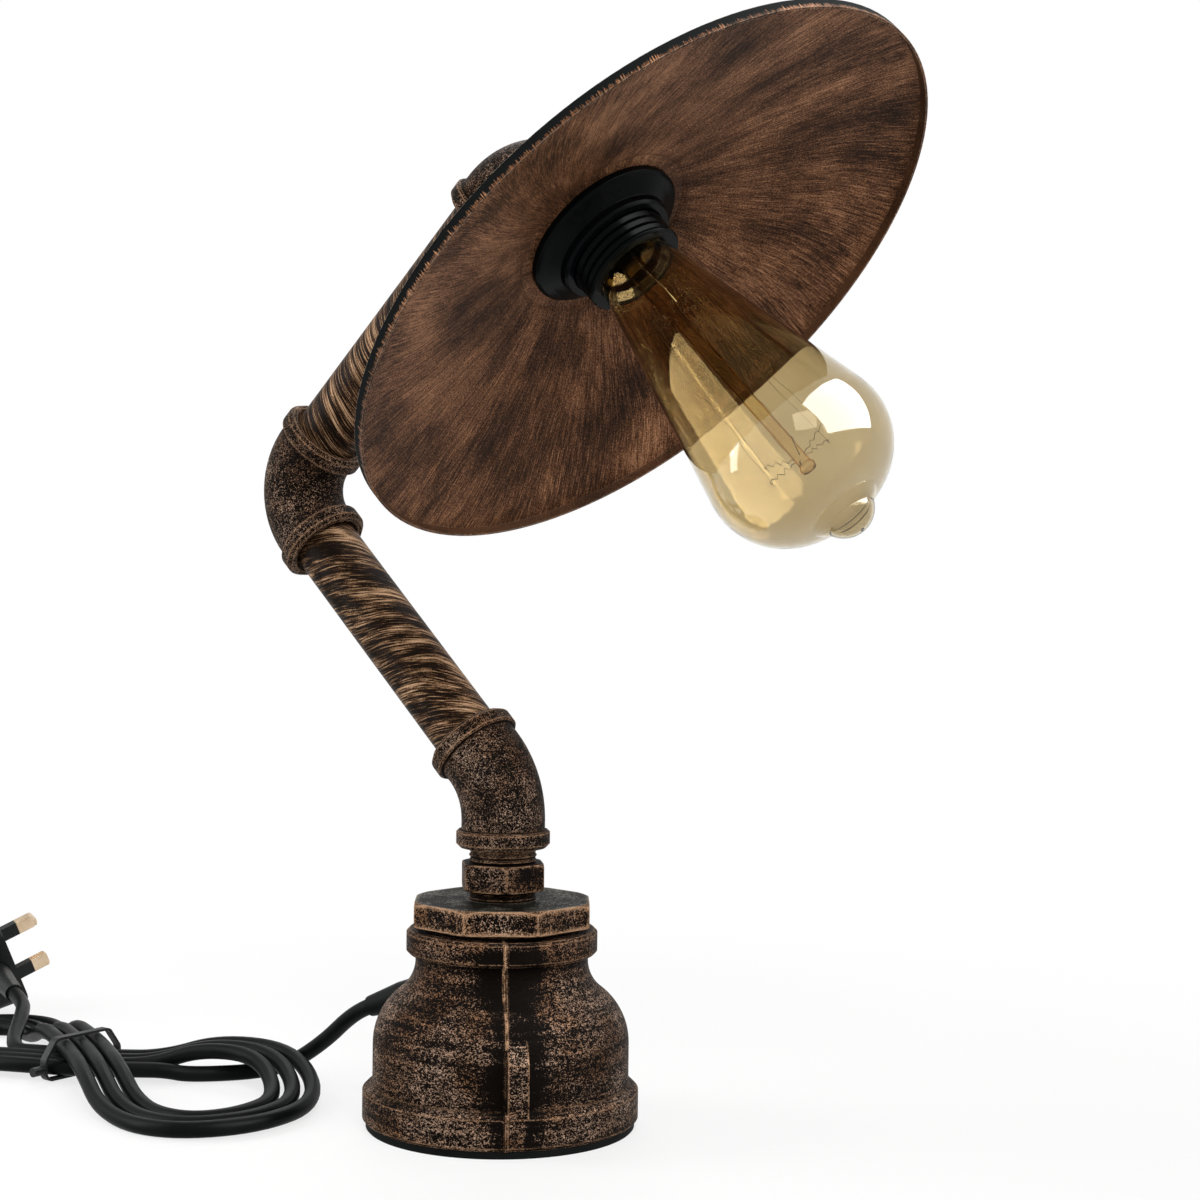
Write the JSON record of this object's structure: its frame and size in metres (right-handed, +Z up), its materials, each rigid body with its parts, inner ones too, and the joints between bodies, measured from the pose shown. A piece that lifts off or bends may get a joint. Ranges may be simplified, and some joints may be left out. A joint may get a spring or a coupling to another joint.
{
  "type": "table lamp",
  "caption": "Table lamp of threaded pipe and cast fittings: bell base, zig-zag swivelling arm, shallow cone shade, large clear bulb, and supply cord in a tied hank with plug.",
  "frame": {"origin": "centre of the base's underside, on the surface the lamp stands on", "axes": "+Z up along the base's axis, +X forward towards the shade in the plane of the arm, +Y to the left"},
  "size_m": [0.5218, 0.2596, 0.4191],
  "materials": {
    "pad": "matt black",
    "plate_steel": "plain sheet",
    "cast_bronze": "black cast metal rubbed with copper on edges",
    "nipple_bronze": "dark threaded metal with copper edges",
    "pipe_bronze": "black pipe dry-brushed with copper",
    "shade_copper": "copper-brown brushed radially, black lip",
    "holder_black": "glossy black",
    "ceramic": "off-white ceramic",
    "contact_brass": "plain brass",
    "bulb_brass": "bright brass",
    "bulb_insulator": "black glass",
    "bulb_glass": "clear with an amber tint",
    "stem_glass": "clear amber",
    "lamp_wire": "thin wire",
    "cord_black": "satin black sheath",
    "grommet_black": "matt black",
    "tie_black": "black",
    "plug_black": "satin black",
    "pin_brass": "brass",
    "fuse_white": "ceramic tube"
  },
  "bodies": {
    "base": {"base_pad": "pad", "base_plate": "plate_steel", "base_reducer": "cast_bronze", "reducing_bush": "cast_bronze", "hex_nipple": "nipple_bronze", "cord_grommet": "grommet_black", "cord_stop": "grommet_black", "flex_base": "cord_black", "cord_lead": "cord_black", "cord_hank": "cord_black", "cord_tail": "cord_black", "cord_tie": "tie_black", "plug_body": "plug_black", "plug_relief": "grommet_black", "power_pins": "pin_brass", "pin_sleeves": "plug_black", "earth_pin": "pin_brass", "fuse_cover": "plug_black", "plug_fuse": "fuse_white"},
    "arm": {"lower_elbow": "cast_bronze", "lower_pipe": "pipe_bronze", "flex_arm": "cord_black"},
    "forearm": {"middle_elbow": "cast_bronze", "upper_pipe": "pipe_bronze", "flex_forearm": "cord_black"},
    "head": {"top_elbow": "cast_bronze", "holder_cap": "holder_black", "holder_sleeve": "holder_black", "holder_insert": "ceramic", "terminal_screws": "contact_brass", "screw_shell": "contact_brass", "centre_contact": "contact_brass", "shade": "shade_copper", "shade_ring": "holder_black", "flex_head": "cord_black"},
    "bulb_travel": {"bulb_contact": "bulb_brass"},
    "bulb": {"bulb_cap": "bulb_brass", "bulb_insulator": "bulb_insulator", "bulb_glass": "bulb_glass", "bulb_stem": "stem_glass", "support_wires": "lamp_wire", "filament": "lamp_wire"}
  },
  "joints": [
    {"name": "arm_swivel", "type": "hinge", "parent": "base", "child": "arm", "pos_m": [0, 0, 0.1349], "axis": [0, 0, 1], "range_deg": [-90, 90]},
    {"name": "forearm_swivel", "type": "hinge", "parent": "arm", "child": "forearm", "pos_m": [-0.11639, 0, 0.25129], "axis": [-0.7071, 0, 0.7071], "range_deg": [-45, 45]},
    {"name": "head_swivel", "type": "hinge", "parent": "forearm", "child": "head", "pos_m": [0.01266, 0, 0.38034], "axis": [0.7071, 0, 0.7071], "range_deg": [-90, 90]},
    {"name": "bulb_out", "type": "slide", "parent": "head", "child": "bulb_travel", "axis": [0.7071, 0, -0.7071], "range_m": [0, 0.0092]},
    {"name": "bulb_screw", "type": "hinge", "parent": "bulb_travel", "child": "bulb", "pos_m": [0.01266, 0, 0.38034], "axis": [0.7071, 0, -0.7071], "range_deg": [0, 900]}
  ],
  "couplings": [
    {"joint": "bulb_out", "follows": "bulb_screw", "m_per_rad": 0.00057773}
  ]
}
